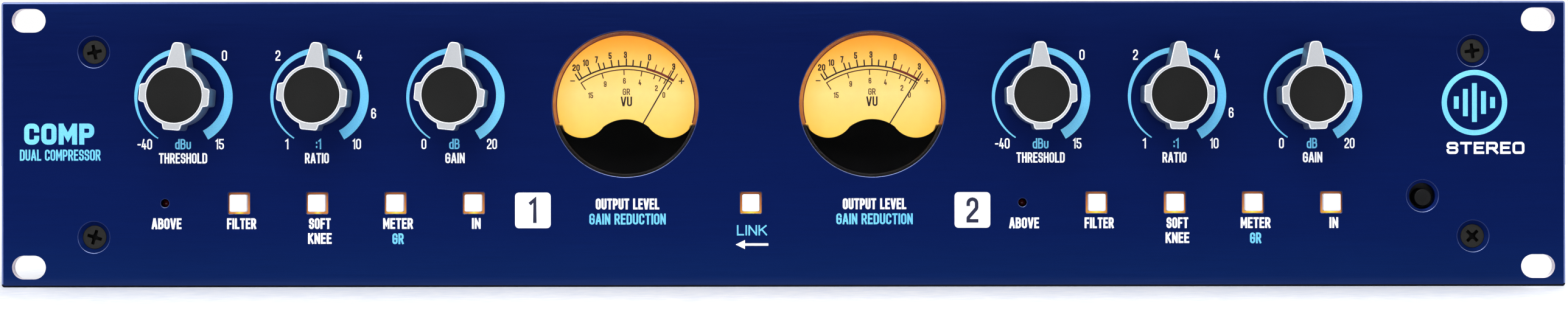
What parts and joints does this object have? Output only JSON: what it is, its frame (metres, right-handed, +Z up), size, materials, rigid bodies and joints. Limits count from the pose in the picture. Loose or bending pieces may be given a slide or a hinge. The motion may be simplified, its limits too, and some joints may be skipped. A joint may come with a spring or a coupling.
{
  "type": "rack compressor",
  "caption": "Two-channel 2U rack-mount audio compressor: blue panel with pointer knobs, lit square buttons and round amber meters, on a black steel case.",
  "frame": {"origin": "centre of the four rack slots, on the front panel's rear face, which meets the rack rails", "axes": "+X to the right seen from the front, +Y from the front panel to the rear, +Z up"},
  "size_m": [0.4826, 0.2539, 0.0882],
  "materials": {
    "panel_blue": "satin",
    "screw_black": "satin",
    "pot_metal": "satin",
    "nickel": "bright",
    "switch_plastic": "matt",
    "lamp_red": "clear",
    "circuit_board": "satin",
    "component_black": "satin",
    "transformer_steel": "varnished",
    "case_black": "fine texture",
    "connector_metal": "nickel plated",
    "connector_black": "matt",
    "meter_glass": "clear",
    "meter_black": "matt",
    "dial_amber": "lit from behind",
    "knob_grey": "satin",
    "knob_black": "matt",
    "button_white": "gloss",
    "button_black": "satin",
    "needle_brown": "matt",
    "fuse_glass": "clear"
  },
  "bodies": {
    "chassis": {"front_panel": "panel_blue", "panel_screws": "screw_black", "potentiometers": "pot_metal", "push_switches": "switch_plastic", "indicator_lamps": "lamp_red", "control_board": "circuit_board", "main_board": "circuit_board", "board_standoffs": "nickel", "board_components": "component_black", "transformer": "transformer_steel", "chassis_tray": "case_black", "rear_panel": "case_black", "top_cover": "case_black", "case_screws": "screw_black", "audio_inputs": "connector_metal", "audio_outputs": "connector_metal", "sidechain_jacks": "connector_black", "power_inlet": "connector_black", "meter_lens_1": "meter_glass", "meter_housing_1": "meter_black", "meter_dial_1": "dial_amber", "meter_mask_1": "meter_black", "meter_lens_2": "meter_glass", "meter_housing_2": "meter_black", "meter_dial_2": "dial_amber", "meter_mask_2": "meter_black"},
    "threshold_knob_1": {"threshold_knob_1": "knob_grey", "threshold_cap_1": "knob_black", "threshold_shaft_1": "nickel"},
    "threshold_knob_2": {"threshold_knob_2": "knob_grey", "threshold_cap_2": "knob_black", "threshold_shaft_2": "nickel"},
    "ratio_knob_1": {"ratio_knob_1": "knob_grey", "ratio_cap_1": "knob_black", "ratio_shaft_1": "nickel"},
    "ratio_knob_2": {"ratio_knob_2": "knob_grey", "ratio_cap_2": "knob_black", "ratio_shaft_2": "nickel"},
    "gain_knob_1": {"gain_knob_1": "knob_grey", "gain_cap_1": "knob_black", "gain_shaft_1": "nickel"},
    "gain_knob_2": {"gain_knob_2": "knob_grey", "gain_cap_2": "knob_black", "gain_shaft_2": "nickel"},
    "filter_button_1": {"filter_button_1": "button_white"},
    "filter_button_2": {"filter_button_2": "button_white"},
    "knee_button_1": {"knee_button_1": "button_white"},
    "knee_button_2": {"knee_button_2": "button_white"},
    "meter_button_1": {"meter_button_1": "button_white"},
    "meter_button_2": {"meter_button_2": "button_white"},
    "in_button_1": {"in_button_1": "button_white"},
    "in_button_2": {"in_button_2": "button_white"},
    "link_button": {"link_button": "button_white"},
    "power_button": {"power_button": "button_black"},
    "needle_1": {"needle_1": "needle_brown"},
    "input_latch_1": {"input_latch_1": "nickel"},
    "needle_2": {"needle_2": "needle_brown"},
    "input_latch_2": {"input_latch_2": "nickel"},
    "fuse_drawer": {"fuse_drawer": "connector_black", "fuse": "fuse_glass"}
  },
  "joints": [
    {"name": "threshold_turn_1", "type": "hinge", "parent": "chassis", "child": "threshold_knob_1", "pos_m": [-0.1857, 0, 0.0151], "axis": [0, 1, 0], "range_deg": [-154.7, 145.3]},
    {"name": "threshold_turn_2", "type": "hinge", "parent": "chassis", "child": "threshold_knob_2", "pos_m": [0.07885, 0, 0.0151], "axis": [0, 1, 0], "range_deg": [-148.1, 151.9]},
    {"name": "ratio_turn_1", "type": "hinge", "parent": "chassis", "child": "ratio_knob_1", "pos_m": [-0.14375, 0, 0.0151], "axis": [0, 1, 0], "range_deg": [-155.5, 144.5]},
    {"name": "ratio_turn_2", "type": "hinge", "parent": "chassis", "child": "ratio_knob_2", "pos_m": [0.1208, 0, 0.0151], "axis": [0, 1, 0], "range_deg": [-150.9, 149.1]},
    {"name": "gain_turn_1", "type": "hinge", "parent": "chassis", "child": "gain_knob_1", "pos_m": [-0.1018, 0, 0.0151], "axis": [0, 1, 0], "range_deg": [-155.8, 144.2]},
    {"name": "gain_turn_2", "type": "hinge", "parent": "chassis", "child": "gain_knob_2", "pos_m": [0.16275, 0, 0.0151], "axis": [0, 1, 0], "range_deg": [-148.2, 151.8]},
    {"name": "filter_press_1", "type": "slide", "parent": "chassis", "child": "filter_button_1", "axis": [0, 1, 0], "range_m": [0, 0.0022], "stiffness_N_per_m": 300, "springref_m": -0.0005},
    {"name": "filter_press_2", "type": "slide", "parent": "chassis", "child": "filter_button_2", "axis": [0, 1, 0], "range_m": [0, 0.0022], "stiffness_N_per_m": 300, "springref_m": -0.0005},
    {"name": "knee_press_1", "type": "slide", "parent": "chassis", "child": "knee_button_1", "axis": [0, 1, 0], "range_m": [0, 0.0022], "stiffness_N_per_m": 300, "springref_m": -0.0005},
    {"name": "knee_press_2", "type": "slide", "parent": "chassis", "child": "knee_button_2", "axis": [0, 1, 0], "range_m": [0, 0.0022], "stiffness_N_per_m": 300, "springref_m": -0.0005},
    {"name": "meter_press_1", "type": "slide", "parent": "chassis", "child": "meter_button_1", "axis": [0, 1, 0], "range_m": [0, 0.0022], "stiffness_N_per_m": 300, "springref_m": -0.0005},
    {"name": "meter_press_2", "type": "slide", "parent": "chassis", "child": "meter_button_2", "axis": [0, 1, 0], "range_m": [0, 0.0022], "stiffness_N_per_m": 300, "springref_m": -0.0005},
    {"name": "in_press_1", "type": "slide", "parent": "chassis", "child": "in_button_1", "axis": [0, 1, 0], "range_m": [0, 0.0022], "stiffness_N_per_m": 300, "springref_m": -0.0005},
    {"name": "in_press_2", "type": "slide", "parent": "chassis", "child": "in_button_2", "axis": [0, 1, 0], "range_m": [0, 0.0022], "stiffness_N_per_m": 300, "springref_m": -0.0005},
    {"name": "link_press", "type": "slide", "parent": "chassis", "child": "link_button", "axis": [0, 1, 0], "range_m": [0, 0.0022], "stiffness_N_per_m": 300, "springref_m": -0.0005},
    {"name": "power_press", "type": "slide", "parent": "chassis", "child": "power_button", "axis": [0, 1, 0], "range_m": [0, 0.003], "stiffness_N_per_m": 300, "springref_m": -0.0005},
    {"name": "needle_swing_1", "type": "hinge", "parent": "chassis", "child": "needle_1", "pos_m": [-0.0487, 0, -0.0026], "axis": [0, 1, 0], "range_deg": [-64.5, 4.5], "stiffness_Nm_per_rad": 0.0005},
    {"name": "input_latch_press_1", "type": "slide", "parent": "chassis", "child": "input_latch_1", "axis": [0, -1, 0], "range_m": [0, 0.0016], "stiffness_N_per_m": 300, "springref_m": -0.0005},
    {"name": "needle_swing_2", "type": "hinge", "parent": "chassis", "child": "needle_2", "pos_m": [0.0275, 0, -0.0026], "axis": [0, 1, 0], "range_deg": [-66, 3], "stiffness_Nm_per_rad": 0.0005},
    {"name": "input_latch_press_2", "type": "slide", "parent": "chassis", "child": "input_latch_2", "axis": [0, -1, 0], "range_m": [0, 0.0016], "stiffness_N_per_m": 300, "springref_m": -0.0005},
    {"name": "fuse_drawer_slide", "type": "slide", "parent": "chassis", "child": "fuse_drawer", "axis": [0, 1, 0], "range_m": [0, 0.02]}
  ]
}
